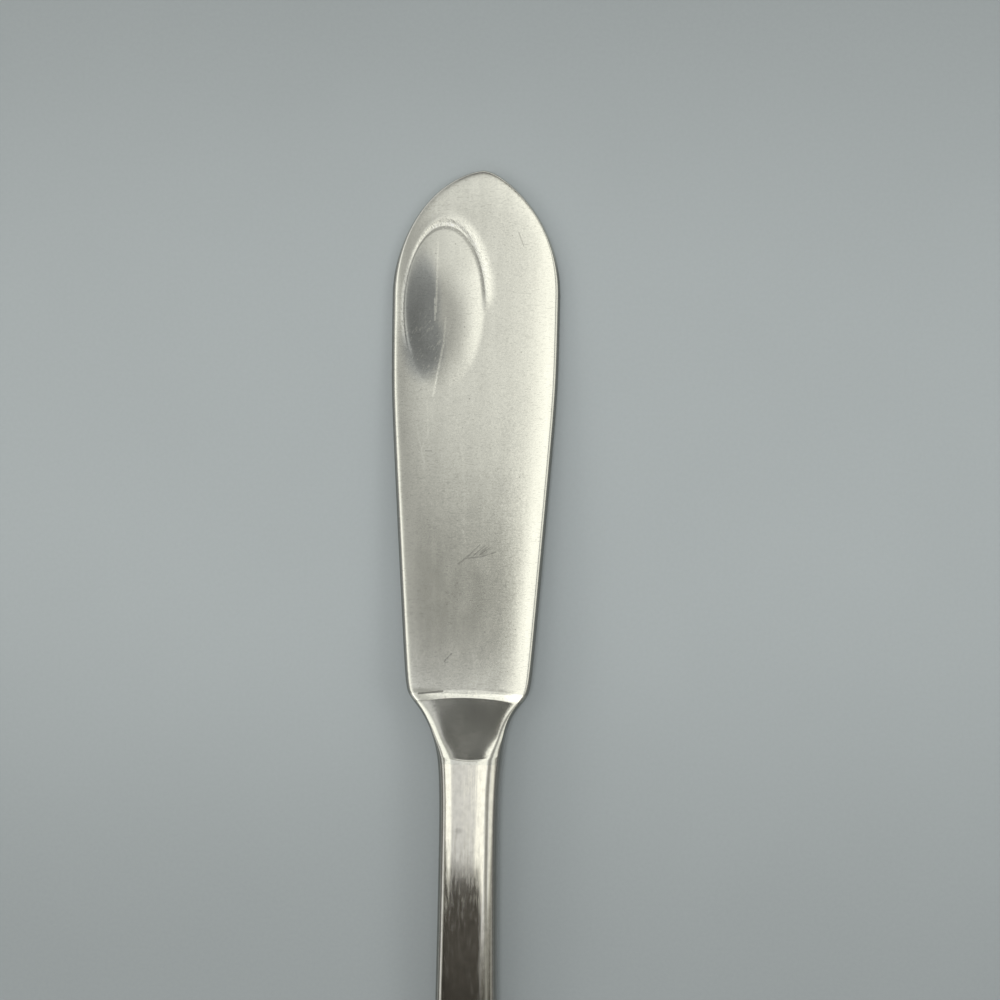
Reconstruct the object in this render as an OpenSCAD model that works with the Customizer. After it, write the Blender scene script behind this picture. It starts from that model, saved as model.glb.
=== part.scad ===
// Butter knife, one piece of stainless steel in five zones that meet face to face.
// The knife lies on its back face: +Y runs to the tip, +X to the right and +Z up,
// with the origin under the middle of its length, on the surface that it rests on.

/* [Overall] */
// Length from the tip of the blade to the end of the handle
overall_length = 165; // [155:1:180]

/* [Blade] */
// Length from the tip to the crease at the foot of the ramp
blade_length = 69.9; // [64:0.1:74]
// Width at the widest section
blade_width = 22.2; // [20:0.1:25]
// Width at the heel, where the sides turn in towards the neck
heel_width = 16.2; // [14:0.1:18]
// Length of the nose, from the tip to the widest section
nose_length = 16.6; // [13:0.1:21]
// Power of the nose's outline, where 2 is an ellipse and less is more pointed
nose_power = 1.58; // [1.5:0.01:2.1]
// Sideways lean of the very tip
tip_lean = 0.7; // [-1:0.1:1]
// Distance from the tip at which the sides begin to draw in
taper_start = 28.6; // [25:0.1:35]
// Length over which the sides turn into their taper
taper_softness = 5; // [2:0.5:9]
// Thickness at the tip
tip_thickness = 1.1; // [0.9:0.1:1.5]
// Thickness at the heel
heel_thickness = 1.9; // [1.6:0.1:2.4]
// Power that flattens the blade's upper face, where lower is more crowned
blade_face_power = 4; // [4:1:12]
// Power that squares the blade's long edges
blade_edge_power = 8; // [3:1:10]
// Width over which the blade's long edges are rounded
blade_edge_round = 0.6; // [0.2:0.1:1]
// The same at the very tip
tip_edge_round = 0.2; // [0.1:0.1:0.6]

/* [Shoulder] */
// Length of flat heel that belongs to the shoulder, ahead of the crease
heel_land = 2; // [1.5:0.1:4]
// How far the middle of the crease arches towards the tip
crease_arch = 0.7; // [0:0.1:1.2]
// Length of the ramp, from the crease to the full thickness of the neck
ramp_length = 7.8; // [7:0.1:12]
// Share of the ramp that is straight, before it rounds off
ramp_straight_share = 0.95; // [0.2:0.05:0.95]
// Power that flattens the ramp's upper face
ramp_face_power = 8; // [4:1:12]
// How far the sweep stands out from the neck at the crease, on each side
sweep_flare = 3.55; // [3.2:0.05:4]
// Length over which the sweep falls to a little over a third of that
sweep_fade = 3.35; // [2.8:0.05:4]
// Length of the sweep, from the crease to the neck's narrowest section
sweep_length = 11.1; // [10:0.1:13]
// Softness of the corners where the blade's sides meet the sweep
corner_softness = 1.2; // [0.2:0.1:1.5]
// Sideways shift of the neck and handle from the blade's middle
neck_shift = 0.4; // [0:0.1:0.8]

/* [Neck] */
// Width at the narrowest section
neck_width = 7.7; // [6.5:0.1:9]
// Thickness, the greatest of the whole knife
neck_thickness = 4.8; // [3.8:0.1:5.4]
// Length of the neck, from the end of the ramp
neck_length = 14.6; // [8:0.1:20]
// Power that flattens the upper face of the neck and handle
neck_face_power = 4; // [3:0.5:9]
// Power that squares the long edges of the neck and handle
neck_edge_power = 3; // [2:0.25:4]
// Width over which the long edges of the neck and handle are rounded
neck_edge_round = 0.2; // [0.1:0.1:0.6]
// Share of the back face's width that is quite flat, all along the knife
back_flat_share = 0.62; // [0.4:0.02:0.8]
// Power by which the back face turns up from there to the edges
back_face_power = 5; // [3:1:9]

/* [Handle] */
// Width of the handle at its end, before the end's rounding
end_width = 11.6; // [9:0.1:14]
// Thickness of the handle at its end
end_thickness = 3; // [2.4:0.1:3.8]
// Length of the handle's end that is rounded
end_length = 9; // [6:0.5:12]
// Power of the rounded end's outline, where 2 is an ellipse
end_power = 2.2; // [1.8:0.1:3]

/* [Bow] */
// Height that the bow lifts the centre line between the blade and the handle
bow_height = 3.6; // [1.2:0.1:5]
// Distance from the tip at which the blade leaves the table
bow_start = 6; // [5:1:36]
// Distance from the tip to the top of the bow
bow_peak = 94; // [88:1:104]

/* [Hidden] */

steel_tone = [0.78, 0.78, 0.75];

// Distances from the tip to the planes where the zones meet
heel_plane = blade_length - heel_land;
ramp_end = blade_length + ramp_length;
neck_end = ramp_end + neck_length;
end_plane = overall_length - end_length;
neck_place = blade_length + sweep_length;

// Rows of section in each stretch, and places across half a face
nose_rows = 18;
side_rows = 22;
heel_rows = 9;
ramp_rows = 16;
neck_rows = 8;
handle_rows = 24;
end_rows = 14;
face_shares = [0, 0.25, 0.45, 0.62, 0.75, 0.85, 0.92, 0.95, 0.97, 0.985, 0.995, 1];
// Distance that the rows' middles run ahead of their ends at the nose and at the handle's end
nose_fan_share = 0.4;
end_fan_share = 0.42;
// Power by which the lean of the tip dies away along the nose
lean_power = 12;

// Rises from 0 to 1 as t does, level at both ends
function ease(t) = let (c = min(max(t, 0), 1)) c * c * (3 - 2 * c);
function mix(a, b, t) = a + (b - a) * t;
// Nothing well before x = 0 and x well after it, blended over the length q
function soft_ramp(x, q) = (x + sqrt(x * x + q * q)) / 2;
// The smaller of a and b, blended over the length q where they cross
function soft_min(a, b, q) = (a + b - sqrt((a - b) * (a - b) + q * q)) / 2;
// A straight rise that rounds off level at t = 1, p being its straight share
function ramp(t, p) = t <= 0 ? 0 : t >= 1 ? 1 :
    t <= p ? 2 * t / (1 + p) : 1 - (1 - t) * (1 - t) / (1 - p * p);
// Share of full width in a rounded end, t going from 0 at its tip to 1 where it ends
function round_end(t, power) = t >= 1 ? 1 : pow(max(1 - (1 - t) * (1 - t), 0), 1 / power);

// Half widths at the distance s from the tip: the blade's sides, then the sweep and the handle
function blade_side(s) = blade_width / 2 - (blade_width - heel_width) / 2
    * soft_ramp(s - taper_start, taper_softness)
    / soft_ramp(blade_length - taper_start, taper_softness);
function sweep(s) = sweep_flare * exp((blade_length - s) / sweep_fade);
function handle_side(s) = let (t = max(s - neck_place, 0) / (overall_length - neck_place))
    mix(neck_width, end_width, t * t) / 2;
function side(s) = soft_min(blade_side(min(s, neck_place)), handle_side(s) + sweep(s),
    corner_softness * ease((ramp_end - s) / ramp_length));
function half_width(s) = side(s)
    * round_end(s / nose_length, nose_power)
    * round_end((overall_length - s) / end_length, end_power);

// Half thickness, the height of the centre line and the sideways place of the centre line
function blade_half(s) = let (t = min(s / blade_length, 1)) mix(tip_thickness, heel_thickness, t * (2 - t)) / 2;
function handle_thin(s) = ease((s - neck_place) / (end_plane - neck_place));
function half_thick(s) = blade_half(s)
    + (neck_thickness - heel_thickness) / 2 * ramp((s - blade_length) / ramp_length, ramp_straight_share)
    - (neck_thickness - end_thickness) / 2 * handle_thin(s);
function centre_height(s) = blade_half(s) + (s < bow_peak
    ? bow_height * ease((s - bow_start) / (bow_peak - bow_start))
    : mix(bow_height, (end_thickness - heel_thickness) / 2, ease((s - bow_peak) / (end_plane - bow_peak))));
function centre_side(s) = tip_lean * pow(max(1 - s / nose_length, 0), lean_power)
    + neck_shift * ease((s - blade_length) / ramp_length);
function zone_mix(blade, neck, s) = mix(blade, neck, ease((s - heel_plane) / (ramp_end - heel_plane)));
function on_ramp(s) = ease((s - heel_plane) / heel_land) * ease(3 * (ramp_end - s) / ramp_length);
function face_power(s, face) = face < 0 ? back_face_power
    : mix(zone_mix(blade_face_power, neck_face_power, s), ramp_face_power, on_ramp(s));
function edge_power(s) = zone_mix(blade_edge_power, neck_edge_power, s);
function edge_round(s) = s < nose_length ? mix(tip_edge_round, blade_edge_round, ease(s / nose_length))
    : zone_mix(blade_edge_round, neck_edge_round, s);
// Share of the thickness at the place u across: a crowned upper face or a flat back face, then
// a rounded edge
function off_flat(u) = max(abs(u) - back_flat_share, 0) / (1 - back_flat_share);
function section_rise(s, u, face) =
    pow(max(1 - pow(face < 0 ? off_flat(u) : abs(u), face_power(s, face)), 0), 1 / edge_power(s))
    * round_end(side(s) * (1 - abs(u)) / edge_round(s), 2);

// Distance by which the middle of a row is carried on towards the knife's middle at its two
// ends, and towards the tip at the crease
function nose_fan(s) = nose_fan_share * nose_length * pow(max(1 - s / nose_length, 0), 2);
function end_fan(s) = end_fan_share * end_length * pow(max(1 - (overall_length - s) / end_length, 0), 2);
function arch(s) = crease_arch * (s < blade_length
    ? ease((s - heel_plane) / heel_land) : ease((ramp_end - s) / ramp_length));
function row_bend(s) = nose_fan(s) - end_fan(s) - arch(s);

// Places across a section: the top face from left to right, then the back face to the left
half_count = len(face_shares) - 1;
top_count = 2 * half_count;
ring_count = 2 * top_count;
function across(j) = j <= top_count
    ? sign(j - half_count) * face_shares[abs(j - half_count)]
    : across(ring_count - j);
function face_sign(j) = j <= top_count ? 1 : -1;

// A point of the skin: row s, place u across it, and the face that it lies on
function skin_point(s, u, face) = let (
        along = s + row_bend(s) * (1 - u * u),
        rise = section_rise(s, u, face))
    [centre_side(s) + half_width(s) * u,
     overall_length / 2 - along,
     centre_height(along) + face * half_thick(s + max(row_bend(s), 0) * (1 - u * u)) * rise];

// Points of a row, and their places in a row that is folded shut at an end of the knife
function row_points(s) = [for (j = [0 : ring_count - 1]) skin_point(s, across(j), face_sign(j))];
function folded(j) = j <= top_count ? min(j, top_count - j) : max(j, 3 * top_count - j);

// Whether the place j is on the way in from an edge to the middle of its face
function inwards(j) = j % top_count < half_count;

// Skins the rows in order. An end row is folded shut, or else closed by a flat face. Each four
// points are cut in two so that no triangle lies along the fold.
module skin(rows, fold_first = false, fold_last = false) {
    last = len(rows) - 1;
    function place(r, j) = r * ring_count
        + ((r == 0 && fold_first) || (r == last && fold_last) ? folded(j) : j);
    quads = [for (r = [0 : last - 1], j = [0 : ring_count - 1]) let (
        k = (j + 1) % ring_count,
        a = place(r, j), b = place(r, k), c = place(r + 1, k), d = place(r + 1, j))
        each inwards(j) == fold_last ? [[a, b, c], [a, c, d]] : [[a, b, d], [b, c, d]]];
    first_cap = fold_first ? [] : [[for (j = [ring_count - 1 : -1 : 0]) j]];
    last_cap = fold_last ? [] : [[for (j = [0 : ring_count - 1]) last * ring_count + j]];
    polyhedron(points = [for (s = rows) each row_points(s)],
               faces = concat(quads, first_cap, last_cap));
}

// Distances from the tip of evenly spaced rows
function even_rows(from, to, count) = [for (i = [0 : count]) mix(from, to, i / count)];
// The same for a rounded end, closer together towards its tip
function nose_stations() = [for (i = [0 : nose_rows]) nose_length * (1 - cos(90 * i / nose_rows))];
function end_stations() = [for (i = [0 : end_rows]) overall_length - end_length * (1 - sin(90 * i / end_rows))];
function tail(list) = [for (i = [1 : len(list) - 1]) list[i]];

module blade() {
    color(steel_tone)
        skin(concat(nose_stations(), tail(even_rows(nose_length, heel_plane, side_rows))), fold_first = true);
}

module shoulder() {
    color(steel_tone)
        skin(concat(even_rows(heel_plane, blade_length, heel_rows),
                    tail(even_rows(blade_length, ramp_end, ramp_rows))));
}

module neck() {
    color(steel_tone) skin(even_rows(ramp_end, neck_end, neck_rows));
}

module handle() {
    color(steel_tone) skin(even_rows(neck_end, end_plane, handle_rows));
}

module handle_end() {
    color(steel_tone) skin(end_stations(), fold_last = true);
}

blade();
shoulder();
neck();
handle();
handle_end();
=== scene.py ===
import math

import bpy
import numpy as np
from mathutils import Matrix, Vector


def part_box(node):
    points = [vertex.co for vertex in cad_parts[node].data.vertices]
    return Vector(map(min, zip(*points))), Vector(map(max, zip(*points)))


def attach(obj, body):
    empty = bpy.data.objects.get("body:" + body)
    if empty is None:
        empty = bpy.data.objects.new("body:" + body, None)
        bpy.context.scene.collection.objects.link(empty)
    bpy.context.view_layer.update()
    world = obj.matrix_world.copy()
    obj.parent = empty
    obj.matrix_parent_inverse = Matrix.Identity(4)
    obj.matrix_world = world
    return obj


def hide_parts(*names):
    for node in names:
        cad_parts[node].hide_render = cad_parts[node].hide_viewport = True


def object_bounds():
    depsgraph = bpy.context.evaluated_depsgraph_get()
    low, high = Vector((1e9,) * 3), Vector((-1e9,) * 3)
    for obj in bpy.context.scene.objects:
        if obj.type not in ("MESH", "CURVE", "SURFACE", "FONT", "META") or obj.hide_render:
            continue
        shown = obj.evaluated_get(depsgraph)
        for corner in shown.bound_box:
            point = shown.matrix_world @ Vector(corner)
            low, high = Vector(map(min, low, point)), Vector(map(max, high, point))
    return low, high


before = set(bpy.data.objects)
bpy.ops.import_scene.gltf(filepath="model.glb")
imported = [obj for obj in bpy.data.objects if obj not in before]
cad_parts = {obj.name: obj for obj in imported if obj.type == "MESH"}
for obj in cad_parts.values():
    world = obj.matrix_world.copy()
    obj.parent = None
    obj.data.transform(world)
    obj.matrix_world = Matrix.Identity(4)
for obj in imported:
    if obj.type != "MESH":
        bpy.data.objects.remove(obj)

mm = 0.001
cadBox = [list(map(float, corner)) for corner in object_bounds()]
print("stage: frame loaded, box", cadBox)


# The knife's form, in mm: distances s run from the tip of the blade to the end of the handle.
# The zones meet where the frame's nodes do.
def zoneLength(node):
    low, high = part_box(node)
    return (high.y - low.y) / mm


knife = dict(
    length=(cadBox[1][1] - cadBox[0][1]) / mm,
    heelPlane=zoneLength("blade"),
    shoulderLength=zoneLength("shoulder"),
    neckLength=zoneLength("neck"),
    endLength=zoneLength("handle_end"),
    bladeWidth=22.2, heelWidth=16.2, tipThickness=1.1, heelThickness=1.9,
    noseLength=16.6, nosePower=1.58, tipLean=0.7, leanPower=12,     # blunt point, a little to the right
    taperStart=28.6, taperSoftness=5,                               # drawn-in sides
    bladeFacePower=4, neckFacePower=4, rampFacePower=8,             # fullness of the upper face
    backFlatShare=0.62, backFacePower=5,                            # flat middle of the back face
    noseEdgePower=24, bladeEdgePower=8, neckEdgePower=3,            # squareness of the edges
    tipEdgeRound=0.2, bladeEdgeRound=0.6, neckEdgeRound=0.2,
    heelLand=2, creaseArch=0.7, creaseFillet=0.08,                  # crease between blade and ramp
    lipFillet=0.02, lipLength=1.02, lipSlope=0.06,                  # faint lip ahead of it
    rampRise=7.4, rampStraightShare=0.965, rampBow=0.8, rampFade=2.3,
    sweepFlare=3.55, sweepFade=3.35, sweepLength=11.1, cornerSoftness=1.2, neckShift=0.4,
    neckWidth=7.7, neckThickness=4.8, endWidth=11.6, endThickness=3, endPower=2.2,
    bowHeight=3.6, bowStart=6, bowPeak=94,                          # the whole knife is bowed
    noseFanShare=0.4, endFanShare=0.42,                             # rows fanned out at both ends
    reliefPower=12,                                                 # keeps the dent off the edges
)
knife["bladeLength"] = knife["heelPlane"] + knife["heelLand"]
knife["rampEnd"] = knife["heelPlane"] + knife["shoulderLength"]
knife["rampLength"] = knife["rampEnd"] - knife["bladeLength"]
knife["neckEnd"] = knife["rampEnd"] + knife["neckLength"]
knife["endPlane"] = knife["length"] - knife["endLength"]
knife["neckPlace"] = knife["bladeLength"] + knife["sweepLength"]


# Rises from 0 to 1 as t does, level at both ends: 3t^2 - 2t^3
def ease(t):
    t = np.clip(t, 0, 1)
    return t * t * (3 - 2 * t)


def mix(a, b, t):
    return a + (b - a) * t


# 0 well before x = 0 and x well after it, blended over q: half of x plus the root of x^2 + q^2
def softRamp(x, q):
    return (x + np.sqrt(x * x + q * q)) / 2


# The smaller of a and b, blended over q where they cross
def softMin(a, b, q):
    return (a + b - np.sqrt((a - b) ** 2 + q * q)) / 2


# Share of full width in a rounded end: (1 - (1 - t)^2) to the power 1 / p
def roundEnd(t, p):
    return np.maximum(1 - (1 - np.clip(t, 0, 1)) ** 2, 0) ** (1 / p)


# The ramp's rise: straight for the share p, then a parabola that ends level, with a small
# fillet in place of the sharp crease
def ramp(t, p, fillet):
    straight = 2 * softRamp(t, fillet) / (1 + p)
    curved = 1 - np.maximum(1 - t, 0) ** 2 / (1 - p * p)
    return np.where(t <= p, straight, curved) - 2 * softRamp(-4 * p, fillet) / (1 + p)


# Half the width at s without the rounded ends: the blade's drawn-in sides, blended into the
# sweep, which dies away as e^-s, and the slowly widening handle
def sidePlace(s):
    k = knife
    sideAt = np.minimum(s, k["neckPlace"])
    blade = k["bladeWidth"] / 2 - (k["bladeWidth"] - k["heelWidth"]) / 2 * (
        softRamp(sideAt - k["taperStart"], k["taperSoftness"])
        / softRamp(k["bladeLength"] - k["taperStart"], k["taperSoftness"]))
    sweep = k["sweepFlare"] * np.exp((k["bladeLength"] - s) / k["sweepFade"])
    t = np.maximum(s - k["neckPlace"], 0) / (k["length"] - k["neckPlace"])
    handle = mix(k["neckWidth"], k["endWidth"], t * t) / 2
    return softMin(blade, handle + sweep, k["cornerSoftness"] * ease((k["rampEnd"] - s) / k["rampLength"]))


def halfWidth(s):
    k = knife
    return (sidePlace(s) * roundEnd(s / k["noseLength"], k["nosePower"])
            * roundEnd((k["length"] - s) / k["endLength"], k["endPower"]))


def bladeHalf(s):
    t = np.minimum(s / knife["bladeLength"], 1)
    return mix(knife["tipThickness"], knife["heelThickness"], t * (2 - t)) / 2


# Half the thickness at s: the blade's own, plus the ramp's rise, taken a little ahead of s, and
# the faint lip ahead of the crease, less the thinning of the handle
def halfThick(s, ahead):
    k = knife
    thin = ease((s - k["neckPlace"]) / (k["endPlane"] - k["neckPlace"]))
    rise = ramp((s + ahead - k["bladeLength"]) / k["rampRise"], k["rampStraightShare"],
                k["creaseFillet"] / k["rampRise"])
    past = s - k["bladeLength"]
    lip = softRamp(past + k["lipLength"], k["lipFillet"]) - softRamp(past, k["creaseFillet"])
    lip = k["lipSlope"] * lip * (1 - ease(past / k["rampLength"]))
    return (bladeHalf(s) + (k["neckThickness"] - k["heelThickness"]) / 2 * rise + lip
            - (k["neckThickness"] - k["endThickness"]) / 2 * thin)


# Height of the centre line: half the blade, plus the bow between the blade and the handle's end
def centreHeight(s):
    k = knife
    up = k["bowHeight"] * ease((s - k["bowStart"]) / (k["bowPeak"] - k["bowStart"]))
    down = mix(k["bowHeight"], (k["endThickness"] - k["heelThickness"]) / 2,
               ease((s - k["bowPeak"]) / (k["endPlane"] - k["bowPeak"])))
    return bladeHalf(s) + np.where(s < k["bowPeak"], up, down)


# How far the middle of a row is carried along: fanned out at both ends, arched at the crease
def rowBend(s):
    k = knife
    nose = k["noseFanShare"] * k["noseLength"] * np.maximum(1 - s / k["noseLength"], 0) ** 2
    end = k["endFanShare"] * k["endLength"] * np.maximum(1 - (k["length"] - s) / k["endLength"], 0) ** 2
    arch = k["creaseArch"] * np.where(s < k["bladeLength"], ease((s - k["heelPlane"]) / k["heelLand"]),
                                      ease((k["rampEnd"] - s) / k["rampLength"]))
    return nose - end - arch


# A point of the skin, in mm: across at u times the half width, up by the half thickness times
# the superellipse (1 - |u|^n)^(1/m) and the quarter round of the edge, on the upper face (+1)
# or the back face (-1), which is flat in the middle. The ramp ends in an arc, sooner at its edges.
def skinPoint(s, u, face):
    k = knife
    bend = rowBend(s)
    along = s + bend * (1 - u * u)
    zone = ease((s - k["heelPlane"]) / (k["rampEnd"] - k["heelPlane"]))
    ahead = k["rampBow"] * np.clip((s - k["bladeLength"]) / k["rampRise"], 0, 1) * u * u * (face > 0)
    left = k["bladeLength"] + k["rampRise"] - s - ahead
    onRamp = ease((s - k["heelPlane"]) / k["heelLand"]) * ease(k["rampFade"] * left / k["rampRise"])
    n = mix(mix(k["bladeFacePower"], k["neckFacePower"], zone), k["rampFacePower"], onRamp)
    n = np.where(face < 0, k["backFacePower"], n)
    offFlat = np.maximum(np.abs(u) - k["backFlatShare"], 0) / (1 - k["backFlatShare"])
    place = np.where(face < 0, offFlat, np.abs(u))
    onNose, nosePart = s < k["noseLength"], ease(s / k["noseLength"])
    m = np.where(onNose, mix(k["noseEdgePower"], k["bladeEdgePower"], nosePart),
                 mix(k["bladeEdgePower"], k["neckEdgePower"], zone))
    edge = np.where(onNose, mix(k["tipEdgeRound"], k["bladeEdgeRound"], nosePart),
                    mix(k["bladeEdgeRound"], k["neckEdgeRound"], zone))
    rise = np.maximum(1 - place ** n, 0) ** (1 / m) * roundEnd(sidePlace(s) * (1 - np.abs(u)) / edge, 2)
    lean = k["tipLean"] * np.maximum(1 - s / k["noseLength"], 0) ** k["leanPower"]
    shift = k["neckShift"] * ease((s - k["bladeLength"]) / k["rampLength"])
    x = lean + shift + halfWidth(s) * u
    y = k["length"] / 2 - along
    z = centreHeight(along) + face * halfThick(s + np.maximum(bend, 0) * (1 - u * u), ahead) * rise
    return np.stack([x, y, z], -1)


# Places across a ring, closer together at the edges: the sine of evenly spaced angles
def ringPlaces(topHalf, backHalf):
    top = np.sin(np.linspace(-math.pi / 2, math.pi / 2, 2 * topHalf + 1))
    back = np.sin(np.linspace(math.pi / 2, -math.pi / 2, 2 * backHalf + 1))[1:-1]
    return np.concatenate([top, back]), np.concatenate([np.ones(len(top)), -np.ones(len(back))])


# Place in the first or last ring when it is folded shut along its middle
def foldedPlaces(topHalf, backHalf):
    j = np.arange(2 * topHalf + 2 * backHalf)
    top = 2 * topHalf
    return np.where(j <= top, np.minimum(j, top - j), np.maximum(j, 2 * top + 2 * backHalf - j))


# Skins rows of rings as one closed shell. Normals are the cross of the steps along the ring and
# along the rows, taken one row past each open end so that the zones' light runs on unbroken.
def skinZone(name, rows, topHalf, backHalf, relief=None, foldFirst=False, foldLast=False):
    u, face = ringPlaces(topHalf, backHalf)
    count = len(u)
    step = 0.05    # mm to the row past an open end
    ahead = [] if foldFirst else [rows[0] - step]
    behind = [] if foldLast else [rows[-1] + step]
    s = np.concatenate([ahead, rows, behind])[:, None]
    grid = skinPoint(s, u[None, :], face[None, :])
    if relief is not None:
        clear = (face > 0) * (1 - u ** knife["reliefPower"])
        grid[:, :, 2] += relief(grid[:, :, 0], grid[:, :, 1]) * clear
    ring = np.roll(grid, -1, 1) - np.roll(grid, 1, 1)
    line = np.gradient(grid, axis=0)
    normals = np.cross(line, ring)
    normals /= np.maximum(np.linalg.norm(normals, axis=2, keepdims=True), 1e-12)
    first, last = len(ahead), len(s) - len(behind)
    grid, normals = grid[first:last], normals[first:last]
    rowCount = len(rows)
    index = np.arange(rowCount)[:, None] * count + np.arange(count)[None, :]
    if foldFirst:
        index[0] = foldedPlaces(topHalf, backHalf)
    if foldLast:
        index[-1] = (rowCount - 1) * count + foldedPlaces(topHalf, backHalf)
    onward = np.roll(index, -1, 1)
    quads = np.stack([index[:-1], index[1:], onward[1:], onward[:-1]], -1).reshape(-1, 4)
    loops = quads.ravel()
    loopNormals = normals.reshape(-1, 3)[loops]
    starts = np.arange(0, len(loops), 4)
    if not foldFirst:
        starts = np.append(starts, len(loops))
        loops = np.append(loops, index[0])
        loopNormals = np.vstack([loopNormals, np.tile([0, 1.0, 0], (count, 1))])
    if not foldLast:
        starts = np.append(starts, len(loops))
        loops = np.append(loops, index[-1][::-1])
        loopNormals = np.vstack([loopNormals, np.tile([0, -1.0, 0], (count, 1))])
    used, loops = np.unique(loops, return_inverse=True)
    mesh = bpy.data.meshes.new(name)
    mesh.vertices.add(len(used))
    mesh.vertices.foreach_set("co", (grid.reshape(-1, 3)[used] * mm).ravel())
    mesh.loops.add(len(loops))
    mesh.loops.foreach_set("vertex_index", loops.astype(np.int32))
    mesh.polygons.add(len(starts))
    mesh.polygons.foreach_set("loop_start", starts.astype(np.int32))
    mesh.update(calc_edges=True)
    mesh.validate()
    mesh.polygons.foreach_set("use_smooth", np.ones(len(starts), bool))
    mesh.normals_split_custom_set(loopNormals.tolist())
    piece = bpy.data.objects.new(name, mesh)
    bpy.context.collection.objects.link(piece)
    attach(piece, "root")
    return piece


def evenRows(start, stop, spacing):
    return np.linspace(start, stop, max(int(round((stop - start) / spacing)), 2) + 1)


# One hex colour in sRGB, made linear
def linear(hexColour):
    channels = [int(hexColour[i:i + 2], 16) / 255 for i in (1, 3, 5)]
    return [c / 12.92 if c <= 0.04045 else ((c + 0.055) / 1.055) ** 2.4 for c in channels] + [1.0]


# Adds a node with its settings, input values and links
def addNode(tree, kind, values=None, links=None, **settings):
    node = tree.nodes.new(kind)
    for key, value in settings.items():
        setattr(node, key, value)
    for key, value in (values or {}).items():
        node.inputs[key].default_value = value
    for key, socket in (links or {}).items():
        tree.links.new(socket, node.inputs[key])
    return node


def newMaterial(name):
    material = bpy.data.materials.new(name)
    material.use_nodes = True
    tree = material.node_tree
    tree.nodes.clear()
    return material, tree


# Camera: above the knife and a little to its right, as the photograph looks down on it
cameraPlace = dict(distance=300, side=4.0, lean=0.9, tipBelowTop=43.4, axisFromMiddle=3.5, across=132.0,
                   sensor=36, near=10)


def makeCamera():
    c = cameraPlace
    side, lean = math.radians(c["side"]), math.radians(c["lean"])
    target = Vector((c["axisFromMiddle"], knife["length"] / 2 - c["tipBelowTop"], 0)) * mm
    back = Vector((math.sin(side), 0, math.cos(side)))
    rightways = Vector((math.cos(side), 0, -math.sin(side)))
    upways = back.cross(rightways)
    turned = rightways * math.cos(lean) + upways * math.sin(lean)
    raised = back.cross(turned)
    camera = bpy.data.cameras.new("camera")
    camera.sensor_width = c["sensor"]
    camera.lens = camera.sensor_width * c["distance"] / c["across"]
    camera.clip_start = c["near"] * mm
    thing = bpy.data.objects.new("camera", camera)
    turn = Matrix((turned, raised, back)).transposed().to_4x4()
    thing.matrix_world = Matrix.Translation(target + back * c["distance"] * mm) @ turn
    bpy.context.collection.objects.link(thing)
    bpy.context.scene.camera = thing


makeCamera()
print("stage: camera")

# Satin steel of the blade. Sizes are in mm, shares multiply the steel's own reflectance, and an
# edge holds the values of a noise between which its marks come up.
satin = dict(
    tone="#dadad2", roughness=0.14, roughnessSpread=0.015,
    grainSize=(0.22, 0.22, 0.22), grainTilt=(0.006, 0.006), speckleSpread=0.025,   # a fine polishing mop
    mottleSize=(2.2, 3.52, 2.2), mottleShare=0.94,                                # uneven haze
    hairSize=(0.16, 5, 5), hairTurns=(-16, 11), hairEdge=(0.66, 0.76), hairShare=1.05,   # wiping
    bandSize=(1.8, 26, 1.8), bandEdge=(0.35, 0.65), bandShare=0.95,     # soft lengthwise bands of wear
    dashSize=(0.6, 0.15, 0.6), dashEdge=(0.58, 0.7), dashShare=0.87,    # short crosswise nicks
    pitSpacing=1.3, pitSize=0.13, pitShare=0.7,
)
# Brushed steel of the neck and handle
brushed = dict(
    tone="#dedcd3", roughness=0.085, roughnessSpread=0.015,
    streakSize=(0.16, 9, 0.16), crossSize=(0.32, 6.3, 0.32), streakTilt=(0.01, 0.0015), streakShare=0.97,
    scuffSize=(0.24, 2, 0.24), scuffEdge=(0.42, 0.72), scuffRoughness=0.09,   # duller strokes among them
    mottleSize=(0.7, 1, 0.7), mottleEdge=(0.35, 0.7), mottleShare=0.9, hazeSize=(2.2, 5, 2.2),
    pitSpacing=1.5, pitSize=0.1, pitShare=0.75,
)
# What the patterns of both steels have in common: the part of a noise's range that most of it
# lies in, the sharp part of a pit and of a scratch, the pits left out and how far up a face looks
patterns = dict(noiseMiddle=(0.3, 0.7), noiseRoughness=0.6, pitCore=0.4, pitChance=0.55,
                lineCore=0.2, upperTilt=0.3)
# Each pattern's own offset in the noise, so that no two fall together
seeds = dict(cross=31, hair=7, band=23, dash=47, hatch=3, brushCross=19, brushHaze=5, scuff=61,
             mottle=83, ring=11, fleck=29)
# Painted shade darkens the steep sides past the very tip, standing in for dark reflections along the
# edges. A painted highlight brightens the crest ahead of the crease.
paintedLight = dict(steepFrom=0.78, steepTo=0.6, steepShadeShare=0.42, tipClear=(9.0, 15.0),
            crestHighlightShare=1.4, crestSoft=0.1)
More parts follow.
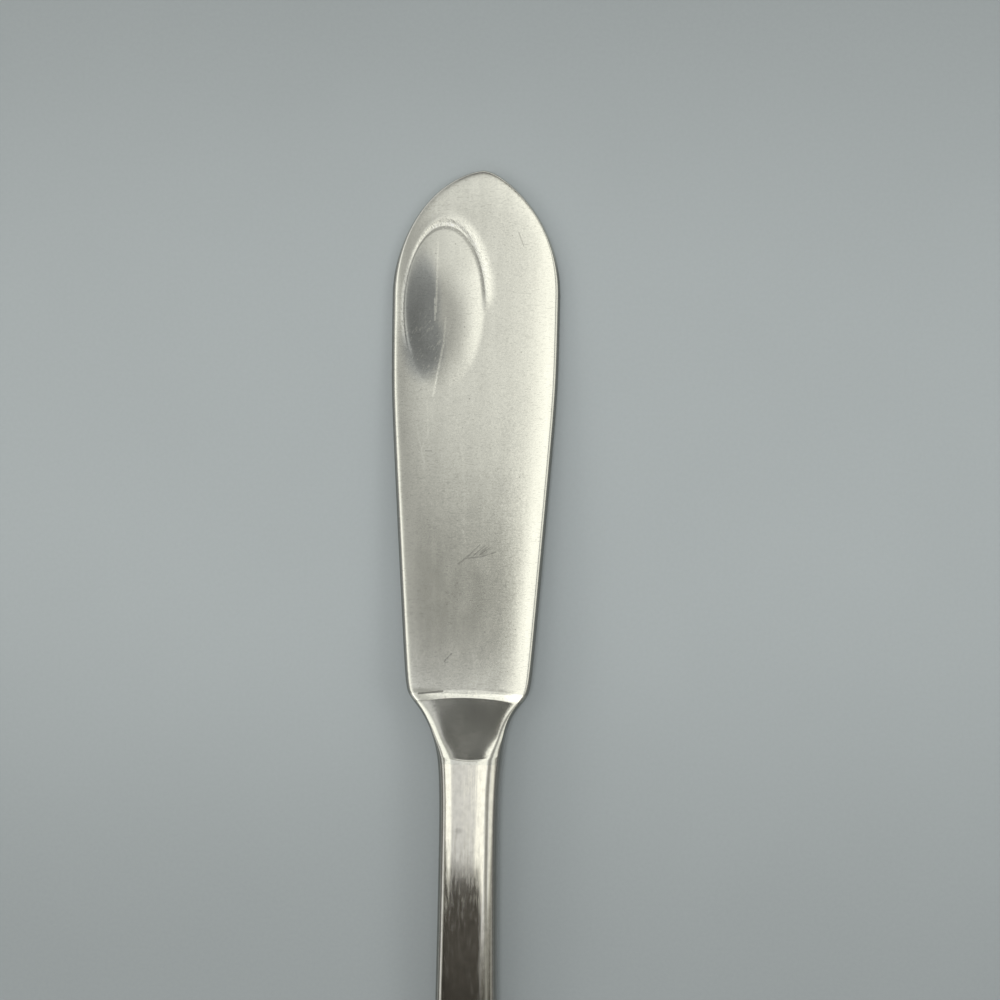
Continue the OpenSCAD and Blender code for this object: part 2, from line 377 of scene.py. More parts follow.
# Marks of use on the upper face: x and the distance from the tip at both ends, then the width
marks = dict(
    bright=[((-5.1, 9.6), (-5.2, 18.8), 0.22), ((-5.4, 17.0), (-5.3, 19.9), 0.16),
            ((-3.9, 19.6), (-4.1, 22.8), 0.2), ((-4.1, 22.8), (-5.4, 30.0), 0.22)],
    brightRoughness=0.09, brightShare=1.28,
    faint=[((-6.1, 30.4), (-5.9, 35.6), 0.16), ((-7.4, 33.7), (-7.1, 35.6), 0.16),
           ((-7.1, 35.6), (-6.3, 38.7), 0.16), ((-1.1, 47.4), (-0.5, 49.5), 0.16),
           ((0.9, 51.2), (1.0, 52.2), 0.12)],
    faintShare=1.08, breakEdge=(0.35, 0.5), breakShare=0.4,    # where scratches skip
    dark=[((5.5, 8.2), (6.2, 10.0), 0.13), ((-3.1, 64.5), (-2.2, 63.5), 0.16),
          ((-6.2, 37.1), (-5.4, 37.1), 0.13), ((-1.5, 51.8), (-0.2, 50.7), 0.2),
          ((-0.2, 50.7), (1.2, 49.3), 0.12), ((0.5, 50.6), (1.9, 49.4), 0.09),
          ((1.2, 50.6), (2.6, 49.6), 0.09), ((-0.6, 51.1), (1.6, 50.8), 0.15),
          ((1.6, 50.8), (3.3, 50.2), 0.13)],
    darkShare=0.72,
    toolMark=((-6.4, 68.75), (-3.3, 68.4), 0.2), toolShare=0.38,
    rub=dict(middle=(1.4, 50.2), half=(2.2, 0.9), turn=22, soft=0.8, share=0.68,
             hatchSize=(0.96, 0.16, 1), hatchTurn=38, hatchEdge=(0.42, 0.62)),
    neckStain=dict(middle=(-0.7, 86.2), half=(0.75, 0.6), soft=0.8, share=0.74),
)


# A soft line between two places: 1 on the line, falling to 0 at its width
def lineMask(tree, flat, line):
    (ax, a), (bx, b), width = line
    start = (ax, knife["length"] / 2 - a, 0)
    step = (bx - ax, a - b, 0)
    reach = step[0] ** 2 + step[1] ** 2
    away = addNode(tree, "ShaderNodeVectorMath", {1: start}, {0: flat}, operation="SUBTRACT").outputs[0]
    share = addNode(tree, "ShaderNodeVectorMath", {1: tuple(c / reach for c in step)}, {0: away},
                    operation="DOT_PRODUCT").outputs["Value"]
    share = addNode(tree, "ShaderNodeClamp", links={0: share}).outputs[0]
    nearest = addNode(tree, "ShaderNodeVectorMath", {0: step}, {"Scale": share}, operation="SCALE").outputs[0]
    gap = addNode(tree, "ShaderNodeVectorMath", links={0: away, 1: nearest},
                  operation="DISTANCE").outputs["Value"]
    return softStep(tree, gap, width, width * patterns["lineCore"])


# An oval patch: 1 inside, falling to 0 at its border over the share that is soft
def ovalMask(tree, flat, patch, soft):
    place = (patch["middle"][0], knife["length"] / 2 - patch["middle"][1], 0)
    oval = addNode(tree, "ShaderNodeMapping",
                   {1: place, 2: (0, 0, math.radians(patch.get("turn", 0))), 3: (*patch["half"], 1)},
                   {0: flat}, vector_type="TEXTURE").outputs[0]
    far = addNode(tree, "ShaderNodeVectorMath", links={0: oval}, operation="LENGTH").outputs["Value"]
    return softStep(tree, far, 1, 1 - soft)


# Joins masks by a maths operation, one after the other
def joined(tree, masks, operation):
    total = masks[0]
    for mask in masks[1:]:
        total = addNode(tree, "ShaderNodeMath", links={0: total, 1: mask}, operation=operation).outputs[0]
    return total


# A soft step of a value between two bounds: 0 at the first, 1 at the second
def softStep(tree, value, start, stop):
    return addNode(tree, "ShaderNodeMapRange", {1: start, 2: stop}, {0: value},
                   interpolation_type="SMOOTHSTEP").outputs[0]


# Multiplies a share: the share where the mask is 1, and no change where it is 0
def shaded(tree, total, mask, share):
    factor = addNode(tree, "ShaderNodeMapRange", {3: 1, 4: share}, {0: mask}).outputs[0]
    return joined(tree, [total, factor], "MULTIPLY")


# Spreads the middle of a noise's range over two values
def spread(tree, noise, low, high):
    start, stop = patterns["noiseMiddle"]
    return addNode(tree, "ShaderNodeMapRange", {1: start, 2: stop, 3: low, 4: high}, {0: noise}).outputs[0]


# Flat places in mm on the piece, all places in mm, and a mask of what faces up
def knifePlaces(tree):
    coordinates = addNode(tree, "ShaderNodeTexCoord")
    place = addNode(tree, "ShaderNodeVectorMath", {1: (1 / mm, 1 / mm, 1 / mm)},
                    {0: coordinates.outputs["Object"]}, operation="MULTIPLY").outputs[0]
    flat = addNode(tree, "ShaderNodeVectorMath", {1: (1, 1, 0)}, {0: place}, operation="MULTIPLY").outputs[0]
    tilt = addNode(tree, "ShaderNodeSeparateXYZ", links={0: coordinates.outputs["Normal"]}).outputs[2]
    upper = addNode(tree, "ShaderNodeMath", {1: patterns["upperTilt"]}, {0: tilt},
                    operation="GREATER_THAN").outputs[0]
    return flat, place, upper


# Painted shade on the steep sides: the share of the steel's reflectance that they keep, standing in for dark
# reflections along the edges
def paintedSideShade(tree, flat):
    w = paintedLight
    normal = addNode(tree, "ShaderNodeTexCoord").outputs["Normal"]
    tilt = addNode(tree, "ShaderNodeSeparateXYZ", links={0: normal}).outputs[2]
    tilt = addNode(tree, "ShaderNodeMath", links={0: tilt}, operation="ABSOLUTE").outputs[0]
    y = addNode(tree, "ShaderNodeSeparateXYZ", links={0: flat}).outputs[1]
    clear, full = (knife["length"] / 2 - s for s in w["tipClear"])
    steep = joined(tree, [softStep(tree, tilt, w["steepFrom"], w["steepTo"]), softStep(tree, y, clear, full)],
                   "MULTIPLY")
    return addNode(tree, "ShaderNodeMapRange", {3: 1, 4: w["steepShadeShare"]}, {0: steep}).outputs[0]


# The crest ahead of the crease, where a highlight is painted; its edge is the parabola y = y0 + a (1 - (x /
# h)^2)
def crestHighlightMask(tree, flat):
    k = knife
    split = addNode(tree, "ShaderNodeSeparateXYZ", links={0: flat})
    x, y = split.outputs[0], split.outputs[1]
    square = joined(tree, [x, x], "MULTIPLY")
    y = addNode(tree, "ShaderNodeMath", {1: k["creaseArch"] / (k["heelWidth"] / 2) ** 2}, {0: square, 2: y},
                operation="MULTIPLY_ADD").outputs[0]
    edge = k["length"] / 2 - k["bladeLength"] + k["creaseArch"]
    top, soft = edge + k["lipLength"], paintedLight["crestSoft"]
    return joined(tree, [softStep(tree, y, edge - soft, edge + soft),
                         softStep(tree, y, top + soft, top - soft)], "MULTIPLY")


# Noise from 0 to 1, drawn out to the sizes given in mm and turned about the height
def grain(tree, place, sizes, turn=0, detail=2, seed=0):
    drawn = addNode(tree, "ShaderNodeMapping",
                    {1: (seed, seed, seed), 2: (0, 0, math.radians(turn)), 3: sizes},
                    {0: place}, vector_type="TEXTURE").outputs[0]
    values = {"Scale": 1.0, "Detail": detail, "Roughness": patterns["noiseRoughness"]}
    return addNode(tree, "ShaderNodeTexNoise", values, {"Vector": drawn},
                   noise_dimensions="3D").outputs["Fac"]


# Sparse pits: a dot in some of the cells, by each cell's own random colour
def pitMask(tree, place, finish):
    cells = addNode(tree, "ShaderNodeTexVoronoi", {"Scale": 1 / finish["pitSpacing"]}, {"Vector": place})
    reach = finish["pitSize"] / finish["pitSpacing"]
    dot = softStep(tree, cells.outputs["Distance"], reach, reach * patterns["pitCore"])
    chance = addNode(tree, "ShaderNodeSeparateColor", links={0: cells.outputs["Color"]}).outputs[0]
    chosen = addNode(tree, "ShaderNodeMath", {1: patterns["pitChance"]}, {0: chance},
                     operation="GREATER_THAN").outputs[0]
    return joined(tree, [dot, chosen], "MULTIPLY")


# The surface's own normal, tipped by two noises: across the knife and along it
def tipped(tree, across, along, tilt):
    tips = [spread(tree, noise, -amount, amount) for noise, amount in zip((across, along), tilt)]
    tip = addNode(tree, "ShaderNodeCombineXYZ", links={0: tips[0], 1: tips[1]}).outputs[0]
    normal = addNode(tree, "ShaderNodeNewGeometry").outputs["Normal"]
    moved = addNode(tree, "ShaderNodeVectorMath", links={0: normal, 1: tip}, operation="ADD").outputs[0]
    return addNode(tree, "ShaderNodeVectorMath", links={0: moved}, operation="NORMALIZE").outputs[0]


# The finish's own roughness, a little higher and lower with a noise
def unevenRoughness(tree, noise, finish):
    half = finish["roughnessSpread"] / 2
    return spread(tree, noise, finish["roughness"] - half, finish["roughness"] + half)


# Scales the steel's tone by the shade worked out for each place, painted light among it, after mixing in a
# second tone where a tint mask is given, and wires the metal up
def finishSteel(tree, tone, shade, roughness, normal, tint=None, tintTone=None):
    colour = addNode(tree, "ShaderNodeRGB").outputs[0]
    colour.default_value = linear(tone)
    if tint is not None:
        colour = addNode(tree, "ShaderNodeMix", {7: linear(tintTone)}, {0: tint, 6: colour},
                         data_type="RGBA").outputs[2]
    colour = addNode(tree, "ShaderNodeVectorMath", links={0: colour, "Scale": shade},
                     operation="SCALE").outputs[0]
    shader = addNode(tree, "ShaderNodeBsdfPrincipled", {"Metallic": 1.0},
                     {"Base Color": colour, "Roughness": roughness, "Normal": normal})
    addNode(tree, "ShaderNodeOutputMaterial", links={"Surface": shader.outputs[0]})


# Satin-polished stainless steel: a soft mirror with a fine haze, wiping scratches, pits and the
# rubs and scratches of use, which scatter light where they cut through the polish
def satinSteel():
    material, tree = newMaterial("satin_polished_stainless")
    f = satin
    flat, place, upper = knifePlaces(tree)
    fine = grain(tree, place, f["grainSize"])
    other = grain(tree, place, f["grainSize"], seed=seeds["cross"])
    haze = grain(tree, place, f["mottleSize"], detail=4)
    hairs = []
    start, stop = f["hairEdge"]
    for number, turn in enumerate(f["hairTurns"]):
        noise = grain(tree, place, f["hairSize"], turn=turn, detail=1, seed=seeds["hair"] * number)
        hairs.append(addNode(tree, "ShaderNodeMapRange", {1: start, 2: stop}, {0: noise}).outputs[0])
    band = softStep(tree, grain(tree, place, f["bandSize"], seed=seeds["band"]), *f["bandEdge"])
    dash = softStep(tree, grain(tree, place, f["dashSize"], detail=1, seed=seeds["dash"]), *f["dashEdge"])
    crest = joined(tree, [crestHighlightMask(tree, flat), upper], "MULTIPLY")
    shade = spread(tree, haze, f["mottleShare"], 1)
    speckle = spread(tree, fine, 1 - f["speckleSpread"], 1 + f["speckleSpread"])
    # The steep sides get painted shade
    shade = joined(tree, [shade, speckle, paintedSideShade(tree, flat)], "MULTIPLY")
    shade = shaded(tree, shade, joined(tree, hairs, "MAXIMUM"), f["hairShare"])
    shade = shaded(tree, shade, band, f["bandShare"])
    shade = shaded(tree, shade, dash, f["dashShare"])
    shade = shaded(tree, shade, pitMask(tree, place, f), f["pitShare"])
    # A painted highlight on the crest ahead of the crease
    shade = shaded(tree, shade, crest, paintedLight["crestHighlightShare"])

    start, stop = marks["breakEdge"]
    breaks = addNode(tree, "ShaderNodeMapRange", {1: start, 2: stop, 3: marks["breakShare"], 4: 1},
                     {0: other}).outputs[0]
    bright = joined(tree, [lineMask(tree, flat, line) for line in marks["bright"]], "MAXIMUM")
    bright = joined(tree, [bright, upper, breaks], "MULTIPLY")
    faint = joined(tree, [lineMask(tree, flat, line) for line in marks["faint"]], "MAXIMUM")
    faint = joined(tree, [faint, upper, breaks], "MULTIPLY")
    dark = joined(tree, [lineMask(tree, flat, line) for line in marks["dark"]], "MAXIMUM")
    dark = joined(tree, [dark, upper, breaks], "MULTIPLY")
    tool = joined(tree, [lineMask(tree, flat, marks["toolMark"]), upper], "MULTIPLY")
    rub = marks["rub"]
    hatch = grain(tree, place, rub["hatchSize"], turn=rub["hatchTurn"], seed=seeds["hatch"])
    start, stop = rub["hatchEdge"]
    hatch = addNode(tree, "ShaderNodeMapRange", {1: start, 2: stop}, {0: hatch}).outputs[0]
    rubbed = joined(tree, [ovalMask(tree, flat, rub, rub["soft"]), hatch, upper], "MULTIPLY")
    shade = shaded(tree, shade, bright, marks["brightShare"])
    shade = shaded(tree, shade, faint, marks["faintShare"])
    shade = shaded(tree, shade, dark, marks["darkShare"])
    shade = shaded(tree, shade, tool, marks["toolShare"])
    shade = shaded(tree, shade, rubbed, rub["share"])

    # The dent's painted highlights, painted shade and painted dark reflection
    ring, creaseShade, paintedReflection, domeShade, crescentHighlight = dentMasks(tree, flat, place, upper, fine)
    paintedReflection = shaded(tree, paintedReflection, bright, dent["scratchedShare"])
    shade = shaded(tree, shade, ring, dent["ringHighlightShare"])
    shade = shaded(tree, shade, creaseShade, dent["creaseShadeShare"])
    shade = shaded(tree, shade, paintedReflection, dent["paintedReflectionShare"])
    shade = shaded(tree, shade, domeShade, dent["domeShadeShare"])
    shade = shaded(tree, shade, crescentHighlight, dent["crescentHighlightShare"])

    rougher = [addNode(tree, "ShaderNodeMapRange", {3: 0, 4: amount}, {0: mask}).outputs[0]
               for mask, amount in ((bright, marks["brightRoughness"]), (ring, dent["ringRoughness"]))]
    rough = joined(tree, [unevenRoughness(tree, haze, f), *rougher], "ADD")
    normal = tipped(tree, fine, other, f["grainTilt"])
    finishSteel(tree, f["tone"], shade, rough, normal, paintedReflection, dent["paintedReflectionTone"])
    return material


# Stainless steel brushed along the handle: the light draws out in fine lengthwise streaks
def brushedSteel():
    material, tree = newMaterial("lengthwise_brushed_stainless")
    f = brushed
    flat, place, upper = knifePlaces(tree)
    streak = grain(tree, place, f["streakSize"])
    other = grain(tree, place, f["crossSize"], seed=seeds["brushCross"])
    haze = grain(tree, place, f["hazeSize"], detail=4, seed=seeds["brushHaze"])
    mottle = grain(tree, place, f["mottleSize"], detail=3, seed=seeds["mottle"])
    tint = marks["neckStain"]
    stained = joined(tree, [ovalMask(tree, flat, tint, tint["soft"]), upper], "MULTIPLY")
    shade = spread(tree, streak, f["streakShare"], 1)
    # The steep sides get painted shade
    shade = joined(tree, [shade, paintedSideShade(tree, flat)], "MULTIPLY")
    shade = shaded(tree, shade, softStep(tree, mottle, *f["mottleEdge"]), f["mottleShare"])
    shade = shaded(tree, shade, pitMask(tree, place, f), f["pitShare"])
    shade = shaded(tree, shade, stained, tint["share"])
    scuff = softStep(tree, grain(tree, place, f["scuffSize"], detail=4, seed=seeds["scuff"]), *f["scuffEdge"])
    scuff = addNode(tree, "ShaderNodeMapRange", {3: 0, 4: f["scuffRoughness"]}, {0: scuff}).outputs[0]
    rough = joined(tree, [unevenRoughness(tree, haze, f), scuff], "ADD")
    normal = tipped(tree, streak, other, f["streakTilt"])
    finishSteel(tree, f["tone"], shade, rough, normal)
    return material


# The dent on the upper face: a low dome in an oval rim, with a ground ring on the rim that is also a
# painted highlight, a line of painted shade in the crease inside it, a blue-grey painted dark
# reflection on the left, painted shade over the dome that fades to the right and a painted highlight
# in the crescent at its right. Ovals are x and the distance from the tip, and a fade holds places up
# the oval, 1 being its top.
dent = dict(
    rim=dict(middle=(-4.1, 17.8), half=(5.42, 11.35)), rimHeight=0.02, rimOuter=0.7, rimInner=0.25,
    domeHeight=0.05, domePower=4, domeEdge=1.5, fadeStart=0.2, fadeEnd=0.42, fadeSlant=0.3,
    inside=(0.2, -0.6), widens=(-8.6, -3.4), borderSoft=0.15,
    # The ground ring is also a painted highlight, fading towards the bottom of the oval
    ringWidth=(0.42, 1.25), ringEdge=(1.5, 0.4), ringFade=(-0.42, 0.1), ringHighlightShare=1.55, ringRoughness=0.08,
    ringGrain=(0.12, 0.5, 0.3), ringTurn=25, ringBreaks=(0.28, 0.56),
    # A line of painted shade in the crease just inside the rim
    creaseShade=dict(middle=(-4.1, 18.3), half=(5.25, 10.7)), creaseShadeInset=0.12, creaseShadeWidth=(0.14, 0.6),
    creaseShadeEdge=(1, 0.4), creaseShadeFade=(-0.25, -0.05), creaseShadeBreaks=(0.3, 0.5), creaseShadeShare=0.58,
    # A blue-grey painted dark reflection on the left of the dome, broken by flecks
    paintedReflection=[dict(middle=(-7.1, 18.4), half=(3.0, 9.0)), dict(middle=(-6.8, 23.0), half=(3.5, 5.9))],
    paintedReflectionSoft=0.5, paintedReflectionShare=0.6, paintedReflectionTone="#d6d9d7", scratchedShare=0.2,
    fleckSize=(0.26, 0.9, 0.3), fleckTurn=-28, fleckEdge=(0.54, 0.68), fleckFade=(0.3, -0.1), fleckShare=0.42,
    # Painted shade over the dome, fading to the right
    haze=dict(middle=(-5.4, 20.2), half=(5.5, 9.2)), domeShadeSoft=0.6, domeShadeShare=0.62,
    # A painted highlight in the crescent inside the rim at the right
    crescentFade=(0.5, 0.1), crescentHighlightShare=1.14,
)


# Signed distances from an oval in mm, outwards: with q the place in half sizes and r its length,
# (r - 1) over the slope of r
def ovalAway(x, along, oval):
    a, b = oval["half"]
    q = (x - oval["middle"][0]) / a, (along - oval["middle"][1]) / b
    r = np.hypot(*q)
    return (r - 1) * r / np.maximum(np.hypot(q[0] / a, q[1] / b), 1e-6), r, q[1]


# Height in mm that the dent adds: the dome is H (1 - r^p)^q, and the rim is a bell about r = 1,
# gentle outside and steep inside, that fades towards the handle, sooner on the right
def dentRelief(x, y):
    d = dent
    away, r, down = ovalAway(x, knife["length"] / 2 - y, d["rim"])
    rim = d["rimHeight"] * np.exp(-(away / np.where(away > 0, d["rimOuter"], d["rimInner"])) ** 2)
    down = down + d["fadeSlant"] * (x - d["rim"]["middle"][0]) / d["rim"]["half"][0]
    fade = 1 - ease((down - d["fadeStart"]) / (d["fadeEnd"] - d["fadeStart"]))
    dome = d["domeHeight"] * np.maximum(1 - r ** d["domePower"], 0) ** d["domeEdge"]
    return dome + rim * fade


# The same distance in a material, and how far up the oval the place lies, slanted as the rim fades
def ovalDistance(tree, flat, oval):
    place = (oval["middle"][0], knife["length"] / 2 - oval["middle"][1], 0)
    q = addNode(tree, "ShaderNodeMapping", {1: place, 3: (*oval["half"], 1)}, {0: flat},
                vector_type="TEXTURE").outputs[0]
    r = addNode(tree, "ShaderNodeVectorMath", links={0: q}, operation="LENGTH").outputs["Value"]
    slope = addNode(tree, "ShaderNodeVectorMath", {1: (*oval["half"], 1)}, {0: q},
                    operation="DIVIDE").outputs[0]
    slope = addNode(tree, "ShaderNodeVectorMath", links={0: slope}, operation="LENGTH").outputs["Value"]
    past = addNode(tree, "ShaderNodeMath", {1: 1.0}, {0: r}, operation="SUBTRACT").outputs[0]
    away = joined(tree, [joined(tree, [past, r], "MULTIPLY"), slope], "DIVIDE")
    up = addNode(tree, "ShaderNodeVectorMath", {1: (-dent["fadeSlant"], 1, 0)}, {0: q},
                 operation="DOT_PRODUCT").outputs["Value"]
    return away, up


# Masks of the dent: the ground ring with its painted highlight and the line of painted shade in the
# crease, which both widen to the right, then the painted dark reflection, the painted shade beside
# it and the painted highlight in the crescent at its right
def dentMasks(tree, flat, place, upper, fine):
    d = dent
    x = addNode(tree, "ShaderNodeSeparateXYZ", links={0: flat}).outputs[0]
    inside = softStep(tree, ovalDistance(tree, flat, d["rim"])[0], *d["inside"])
    inside = joined(tree, [inside, upper], "MULTIPLY")
    away, up = ovalDistance(tree, flat, d["creaseShade"])
    past = addNode(tree, "ShaderNodeMath", {1: d["creaseShadeInset"]}, {0: away}, operation="SUBTRACT").outputs[0]
    gap = addNode(tree, "ShaderNodeMath", links={0: past}, operation="ABSOLUTE").outputs[0]
    widening = softStep(tree, x, *d["widens"])
    widths = [addNode(tree, "ShaderNodeMapRange", {3: left, 4: right}, {0: widening}).outputs[0]
              for left, right in (d["ringWidth"], d["creaseShadeWidth"])]
    ringPart, creaseShadePart = (joined(tree, [far, width], "DIVIDE") for far, width in zip((past, gap), widths))
    strokes = grain(tree, place, d["ringGrain"], turn=d["ringTurn"], seed=seeds["ring"])
    # The ground ring, with its painted highlight
    ring = joined(tree, [softStep(tree, past, 0, d["borderSoft"]), softStep(tree, ringPart, *d["ringEdge"]),
                         softStep(tree, strokes, *d["ringBreaks"]), softStep(tree, up, *d["ringFade"]),
                         upper], "MULTIPLY")
    # The line of painted shade in the crease
    creaseShade = joined(tree, [softStep(tree, creaseShadePart, *d["creaseShadeEdge"]), softStep(tree, past, d["borderSoft"], 0),
                         softStep(tree, fine, *d["creaseShadeBreaks"]), softStep(tree, up, *d["creaseShadeFade"]),
                         upper], "MULTIPLY")

    flecks = grain(tree, place, d["fleckSize"], turn=d["fleckTurn"], detail=4, seed=seeds["fleck"])
    flecks = joined(tree, [softStep(tree, flecks, *d["fleckEdge"]), softStep(tree, up, *d["fleckFade"])],
                    "MULTIPLY")
    # The painted dark reflection
    paintedReflection = joined(tree, [ovalMask(tree, flat, oval, d["paintedReflectionSoft"]) for oval in d["paintedReflection"]], "MAXIMUM")
    paintedReflection = shaded(tree, joined(tree, [paintedReflection, upper], "MULTIPLY"), flecks, d["fleckShare"])
    # Painted shade over the dome
    haze = ovalMask(tree, flat, d["haze"], d["domeShadeSoft"])
    clear = addNode(tree, "ShaderNodeMath", {0: 1}, {1: haze}, operation="SUBTRACT").outputs[0]
    # The painted highlight in the crescent
    crescentHighlight = joined(tree, [inside, clear, softStep(tree, up, *d["crescentFade"])], "MULTIPLY")
    return ring, creaseShade, paintedReflection, joined(tree, [inside, haze], "MULTIPLY"), crescentHighlight


bladeSteel = satinSteel()
handleSteel = brushedSteel()
print("stage: steel")

# The mesh: row spacings in mm, and places across half of the upper and of the back face
meshDetail = dict(noseRows=150, endRows=90, dentStep=0.14, bladeStep=0.4, landStep=0.05, rampStep=0.06,
                  neckStep=0.2, handleStep=0.4, dentMargin=2, bladePlaces=(100, 30), handlePlaces=(90, 45))
k, m = knife, meshDetail
noseRows = k["noseLength"] * (1 - np.cos(np.linspace(0, math.pi / 2, m["noseRows"])))
dentEnd = dent["rim"]["middle"][1] + dent["rim"]["half"][1] + m["dentMargin"]
bladeRows = np.concatenate([noseRows, evenRows(k["noseLength"], dentEnd, m["dentStep"])[1:],
                            evenRows(dentEnd, k["heelPlane"], m["bladeStep"])[1:]])
blade = skinZone("blade_skin", bladeRows, *m["bladePlaces"], dentRelief, foldFirst=True)
shoulderRows = np.concatenate([evenRows(k["heelPlane"], k["bladeLength"], m["landStep"]),
                               evenRows(k["bladeLength"], k["rampEnd"], m["rampStep"])[1:]])
shoulder = skinZone("shoulder_skin", shoulderRows, *m["handlePlaces"])
neckRows = evenRows(k["rampEnd"], k["neckEnd"], m["neckStep"])
neck = skinZone("neck_skin", neckRows, *m["handlePlaces"])
handleRows = evenRows(k["neckEnd"], k["endPlane"], m["handleStep"])
handle = skinZone("handle_skin", handleRows, *m["handlePlaces"])
endRows = k["length"] - k["endLength"] * (1 - np.sin(np.linspace(0, math.pi / 2, m["endRows"])))
handleEnd = skinZone("handle_end_skin", endRows, *m["handlePlaces"], foldLast=True)

for piece, node, material, slot in (
        (blade, "blade", bladeSteel, "polished_steel"),
        (shoulder, "shoulder", bladeSteel, "polished_steel"),
        (neck, "neck", handleSteel, "brushed_steel"),
        (handle, "handle", handleSteel, "brushed_steel"),
        (handleEnd, "handle_end", handleSteel, "brushed_steel")):
    piece.data.materials.append(material)
    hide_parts(node)
print("stage: knife")

# Plain pale table, in mm, with a painted pool of light: an oval of paler floor round the knife
table = dict(halfSide=3000, tone="#aab1b3", roughness=0.9, specular=0.1,
             mottleSize=(45, 45, 45), mottleShare=0.97, grainSize=(0.5, 0.5, 0.5), grainShare=0.97,
             middle=(0, 47), half=(200, 60), lightFalloff=(0.3, 1.3), outerShare=0.78)


# Matt and pale, with a faint mottle, a fine grain and a painted pool of light, a slightly paler oval round
# the knife
def makeFloor():
    half = table["halfSide"] * mm
    mesh = bpy.data.meshes.new("floor")
    corners = [(-half, -half, 0), (half, -half, 0), (half, half, 0), (-half, half, 0)]
    mesh.from_pydata(corners, [], [(0, 1, 2, 3)])
    floor = bpy.data.objects.new("floor", mesh)
    bpy.context.collection.objects.link(floor)
    material, tree = newMaterial("matt_pale_table")
    place = knifePlaces(tree)[1]
    shade = spread(tree, grain(tree, place, table["mottleSize"], detail=3), table["mottleShare"], 1)
    speck = spread(tree, grain(tree, place, table["grainSize"]), 0, 1)
    shade = shaded(tree, shade, speck, table["grainShare"])
    oval = addNode(tree, "ShaderNodeMapping", {1: (*table["middle"], 0), 3: (*table["half"], 1)}, {0: place},
                   vector_type="TEXTURE").outputs[0]
    far = addNode(tree, "ShaderNodeVectorMath", links={0: oval}, operation="LENGTH").outputs["Value"]
    # The painted pool of light: the floor darkens away from the oval
    shade = shaded(tree, shade, softStep(tree, far, *table["lightFalloff"]), table["outerShare"])
    colour = addNode(tree, "ShaderNodeVectorMath", {0: linear(table["tone"])[:3]}, {"Scale": shade},
                     operation="SCALE").outputs[0]
    shader = addNode(tree, "ShaderNodeBsdfPrincipled", links={"Base Color": colour})
    shader.inputs["Roughness"].default_value = table["roughness"]
    shader.inputs["Specular IOR Level"].default_value = table["specular"]
    addNode(tree, "ShaderNodeOutputMaterial", links={"Surface": shader.outputs[0]})
    mesh.materials.append(material)


makeFloor()

# The sky as soft boxes and dark gaps, later ones over earlier ones. Bounds are slopes from the
# zenith, to the right and to the tip, soft is how far each border is blurred. Nearer the horizon
# than skyLowest, as a share of straight up, the slopes grow no further.
skyBase = ("#ffffff", 0.86)
skyLowest = 0.02
skyHorizon = dict(tone="#c8c8c6", strength=0.3, start=0.42, end=0.26)
skyPatches = [
    dict(name="middle box", right=(-0.8, 0.5), tip=(0.14, 0.2), soft=(0.1, 0.03),
         tone="#fffffa", strength=0.9),
    dict(name="upper box", right=(-0.8, 0.5), tip=(0.18, 0.250), soft=(0.1, 0.03),
         tone="#fffffa", strength=1.12),
    dict(name="seam", right=(-0.7, 0.055), tip=(0.028, 0.143), soft=(0.1, 0.03),
         tone="#fffff6", strength=0.25),
    dict(name="left shade", right=(-0.34, -0.15), tip=(0.05, 0.3), soft=(0.05, 0.05),
         tone="#fffffa", strength=0.48),
    dict(name="right box", right=(-0.02, 0.24), tip=(0.0, 0.6), soft=(0.03, 0.04),
         tone="#fffef6", strength=1.6),
    dict(name="upper right box", right=(-0.033, 0.24), tip=(0.12, 0.6), soft=(0.043, 0.03),
         tone="#fffef6", strength=1.6),
    dict(name="right foot box", right=(-0.05, 0.24), tip=(-0.2, 0.0), soft=(0.03, 0.03),
         tone="#fffef6", strength=1.5),
    dict(name="right gap", right=(0.30, 0.58), tip=(-0.9, 0.6), soft=(0.05, 0.1),
         tone="#fffff6", strength=0.38),
    dict(name="far right box", right=(0.7, 2.2), tip=(-0.5, 1.4), soft=(0.08, 0.1),
         tone="#fffff6", strength=1.1),
    dict(name="far right corner", right=(0.5, 2.6), tip=(-1.4, -0.26), soft=(0.08, 0.06),
         tone="#f4f2e8", strength=0.34),
    dict(name="left box", right=(-1.05, -0.36), tip=(-0.31, 0.3), soft=(0.06, 0.05),
         tone="#fffff8", strength=1.5),
    dict(name="left gap", right=(-1.6, -1.12), tip=(-0.9, 0.6), soft=(0.06, 0.1),
         tone="#fffff6", strength=0.4),
    dict(name="back wall", right=(-0.18, 0.22), tip=(0.272, 0.46), soft=(0.02, 0.01),
         tone="#e2e2dc", strength=0.085),
    dict(name="front wall", right=(-1.2, 0.11), tip=(-0.9, -0.192), soft=(0.09, 0.01),
         tone="#ded6ca", strength=0.105),
    dict(name="front wall's top", right=(-0.4, 0.08), tip=(-0.3, -0.165), soft=(0.09, 0.006),
         tone="#ded6ca", strength=0.105),
    dict(name="front corner", right=(0.11, 0.34), tip=(-0.9, -0.29), soft=(0.05, 0.04),
         tone="#e8e4d8", strength=0.26),
    dict(name="front floor", right=(-1.2, 0.42), tip=(-0.9, -0.36), soft=(0.1, 0.04),
         tone="#ded6ca", strength=0.066),
    dict(name="right floor", right=(0.55, 1.3), tip=(-1.4, -0.4), soft=(0.1, 0.07),
         tone="#e8e4d8", strength=0.12),
    dict(name="far right floor", right=(1.3, 3.0), tip=(-1.6, -0.84), soft=(0.1, 0.12),
         tone="#e8e4d8", strength=0.1),
]


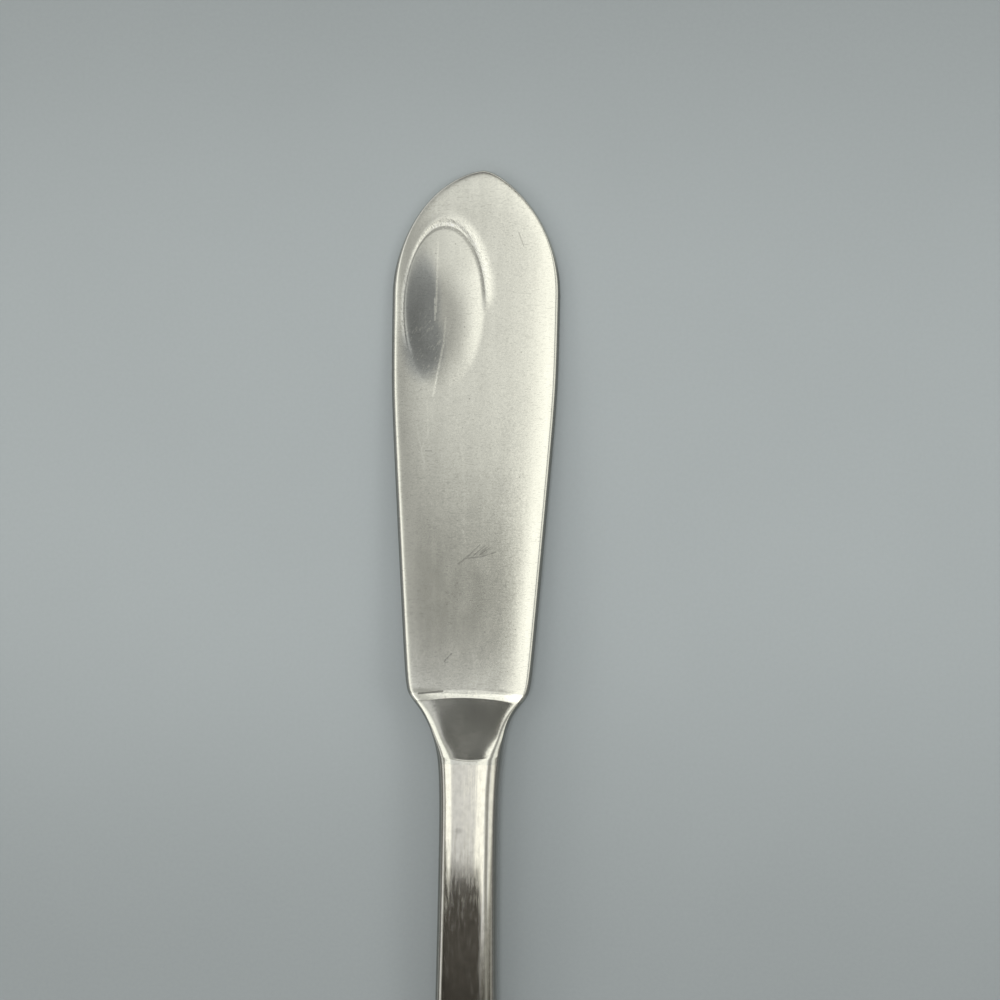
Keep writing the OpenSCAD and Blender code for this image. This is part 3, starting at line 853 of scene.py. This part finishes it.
def makeWorld():
    world = bpy.data.worlds.new("studio")
    bpy.context.scene.world = world
    world.use_nodes = True
    tree = world.node_tree
    tree.nodes.clear()
    ray = addNode(tree, "ShaderNodeTexCoord")
    split = addNode(tree, "ShaderNodeSeparateXYZ", links={0: ray.outputs["Generated"]})
    height = addNode(tree, "ShaderNodeMath", {1: skyLowest}, {0: split.outputs[2]}, operation="MAXIMUM")
    slopes = [addNode(tree, "ShaderNodeMath", links={0: split.outputs[i], 1: height.outputs[0]},
                      operation="DIVIDE").outputs[0] for i in (0, 1)]
    tone, strength = skyBase
    total = addNode(tree, "ShaderNodeRGB")
    total.outputs[0].default_value = [c * strength for c in linear(tone)[:3]] + [1]
    total = total.outputs[0]
    for patch in skyPatches:
        inside = []
        for axis, bounds in enumerate((patch["right"], patch["tip"])):
            soft = patch["soft"][axis]
            for bound, outward in zip(bounds, (-1, 1)):
                inside.append(softStep(tree, slopes[axis], bound + outward * soft, bound - outward * soft))
        inside = joined(tree, inside, "MULTIPLY")
        colour = [c * patch["strength"] for c in linear(patch["tone"])[:3]] + [1]
        total = addNode(tree, "ShaderNodeMix", {7: colour}, {0: inside, 6: total},
                        data_type="RGBA").outputs[2]
    low = softStep(tree, split.outputs[2], skyHorizon["start"], skyHorizon["end"])
    colour = [c * skyHorizon["strength"] for c in linear(skyHorizon["tone"])[:3]] + [1]
    total = addNode(tree, "ShaderNodeMix", {7: colour}, {0: low, 6: total}, data_type="RGBA").outputs[2]
    background = addNode(tree, "ShaderNodeBackground", links={0: total})
    addNode(tree, "ShaderNodeOutputWorld", links={0: background.outputs[0]})


makeWorld()

lamps = [
    dict(name="low left", place=(-900, 60, 440), size=460, power=2.0, tone="#fffaf2"),
    dict(name="low right", place=(600, -20, 560), size=260, power=0.6, tone="#fbfcff"),
    dict(name="overhead", place=(0, 0, 1200), size=240, power=3.2, tone="#ffffff"),
]


def makeLamps():
    for lamp in lamps:
        light = bpy.data.lights.new(lamp["name"], "AREA")
        light.shape = "DISK"
        light.size = lamp["size"] * mm
        light.energy = lamp["power"]
        light.color = linear(lamp["tone"])[:3]
        thing = bpy.data.objects.new(lamp["name"], light)
        thing.location = Vector(lamp["place"]) * mm
        thing.rotation_euler = (-thing.location).to_track_quat("-Z", "Y").to_euler()
        thing.visible_glossy = False
        bpy.context.collection.objects.link(thing)


makeLamps()
bpy.context.scene.view_settings.view_transform = "Standard"
print("stage: light")
